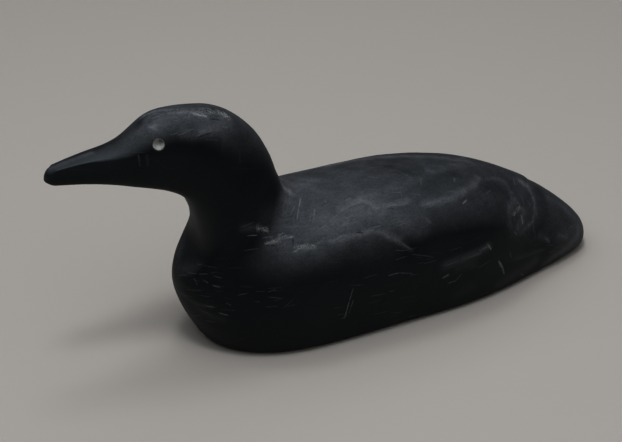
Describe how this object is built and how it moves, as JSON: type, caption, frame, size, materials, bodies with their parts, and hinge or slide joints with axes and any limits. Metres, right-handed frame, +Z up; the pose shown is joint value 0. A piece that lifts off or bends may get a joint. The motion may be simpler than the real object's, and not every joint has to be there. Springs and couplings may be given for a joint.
{
  "type": "stone loon carving",
  "caption": "Low swimming loon carved from one block of polished black soapstone, with drilled eye pits, a dagger bill, a long rounded back and a flat underside that it rests on.",
  "frame": {"origin": "middle of the carving's box in plan, on the flat underside that it rests on", "axes": "+X from the bill to the tail, +Y to the bird's right, +Z up"},
  "size_m": [0.22, 0.062, 0.0941],
  "materials": {
    "black_soapstone": "hand-rubbed satin polish, scuffed pale in places"
  },
  "bodies": {
    "root": {"loon_carving": "black_soapstone"}
  },
  "joints": []
}
